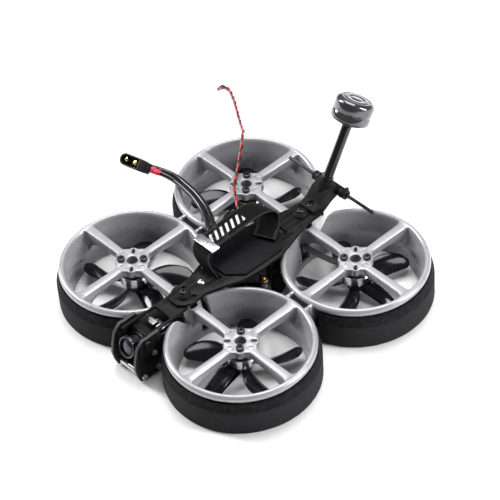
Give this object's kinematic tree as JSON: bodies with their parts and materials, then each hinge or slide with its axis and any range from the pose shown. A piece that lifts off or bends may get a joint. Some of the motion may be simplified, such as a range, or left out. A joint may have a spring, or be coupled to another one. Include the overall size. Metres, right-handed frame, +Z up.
{
  "type": "fpv racing drone",
  "caption": "Ducted pusher quadcopter for first-person video flying, with foam guards, tilting nose camera, mushroom antenna and battery strap.",
  "frame": {"origin": "under the middle of the airframe, on the surface that the bottom plate and foam guards rest on", "axes": "+Z up, nose towards -Y, the drone's left side towards +X"},
  "size_m": [0.2571, 0.2252, 0.1004],
  "materials": {
    "duct_plastic": "satin light grey moulding",
    "eva_foam": "matt, fine closed-cell grain",
    "motor_metal": "turned, satin",
    "bell_metal": "polished",
    "copper_wire": "enamelled copper",
    "prop_plastic": "glossy black",
    "black_steel": "black oxide",
    "black_wire": "silicone sheath",
    "carbon": "matt carbon laminate",
    "pad_rubber": "matt rubber",
    "anodised": "black anodised",
    "silver_steel": "plain steel",
    "camera_black": "black case",
    "lens_metal": "grey anodised",
    "lens_glass": "coated glass",
    "circuit": "solder-masked board",
    "heatsink": "grey anodised",
    "brass": "bright",
    "grommet": "soft silicone",
    "sleeve_blue": "shrink sleeve",
    "strap_web": "woven webbing",
    "buckle_metal": "brushed",
    "tpu": "printed flexible plastic",
    "antenna_gloss": "glossy black",
    "antenna_cap": "smoky grey",
    "plug_nylon": "nylon",
    "red_wire": "silicone sheath"
  },
  "bodies": {
    "airframe": {"duct_front_left": "duct_plastic", "foam_front_left": "eva_foam", "motor_base_front_left": "motor_metal", "duct_front_right": "duct_plastic", "foam_front_right": "eva_foam", "motor_base_front_right": "motor_metal", "duct_rear_left": "duct_plastic", "foam_rear_left": "eva_foam", "motor_base_rear_left": "motor_metal", "duct_rear_right": "duct_plastic", "foam_rear_right": "eva_foam", "motor_base_rear_right": "motor_metal", "bridge_pads": "eva_foam", "motor_windings": "copper_wire", "motor_screws": "black_steel", "motor_leads": "black_wire", "top_plate": "carbon", "bottom_plate": "carbon", "battery_pad": "pad_rubber", "standoffs": "anodised", "plate_screws": "black_steel", "boss_washers": "anodised", "nose_bracket": "carbon", "camera_plate_left": "carbon", "camera_plate_right": "carbon", "camera_spacers": "anodised", "camera_plate_screws": "silver_steel", "camera_cable": "black_wire", "speed_controller": "circuit", "flight_controller": "circuit", "video_transmitter": "heatsink", "stack_bolts": "brass", "stack_grommets": "grommet", "capacitor": "sleeve_blue", "battery_strap": "strap_web", "strap_buckle": "buckle_metal", "antenna_mount": "tpu", "video_antenna_stalk": "antenna_gloss", "video_antenna_cap": "antenna_cap", "receiver_antenna": "antenna_gloss", "zip_ties": "black_wire", "battery_leads": "black_wire", "battery_plug": "plug_nylon", "power_pair": "red_wire"},
    "rotor_front_left": {"motor_bell_front_left": "bell_metal", "propeller_front_left": "prop_plastic", "prop_screws_front_left": "black_steel"},
    "rotor_front_right": {"motor_bell_front_right": "bell_metal", "propeller_front_right": "prop_plastic", "prop_screws_front_right": "black_steel"},
    "rotor_rear_left": {"motor_bell_rear_left": "bell_metal", "propeller_rear_left": "prop_plastic", "prop_screws_rear_left": "black_steel"},
    "rotor_rear_right": {"motor_bell_rear_right": "bell_metal", "propeller_rear_right": "prop_plastic", "prop_screws_rear_right": "black_steel"},
    "camera": {"camera_body": "camera_black", "camera_lens_barrel": "lens_metal", "camera_lens_glass": "lens_glass", "camera_pivot_screws": "silver_steel"}
  },
  "joints": [
    {"name": "rotor_front_left_spin", "type": "hinge", "parent": "airframe", "child": "rotor_front_left", "pos_m": [0.0494, -0.0482, 0.012], "axis": [0, 0, 1], "continuous": true},
    {"name": "rotor_front_right_spin", "type": "hinge", "parent": "airframe", "child": "rotor_front_right", "pos_m": [-0.0494, -0.0482, 0.012], "axis": [0, 0, 1], "continuous": true},
    {"name": "rotor_rear_left_spin", "type": "hinge", "parent": "airframe", "child": "rotor_rear_left", "pos_m": [0.0494, 0.0482, 0.012], "axis": [0, 0, 1], "continuous": true},
    {"name": "rotor_rear_right_spin", "type": "hinge", "parent": "airframe", "child": "rotor_rear_right", "pos_m": [-0.0494, 0.0482, 0.012], "axis": [0, 0, 1], "continuous": true},
    {"name": "camera_tilt", "type": "hinge", "parent": "airframe", "child": "camera", "pos_m": [0, -0.0846, 0.0186], "axis": [-1, 0, 0], "range_deg": [-19.5, 20.5]}
  ]
}
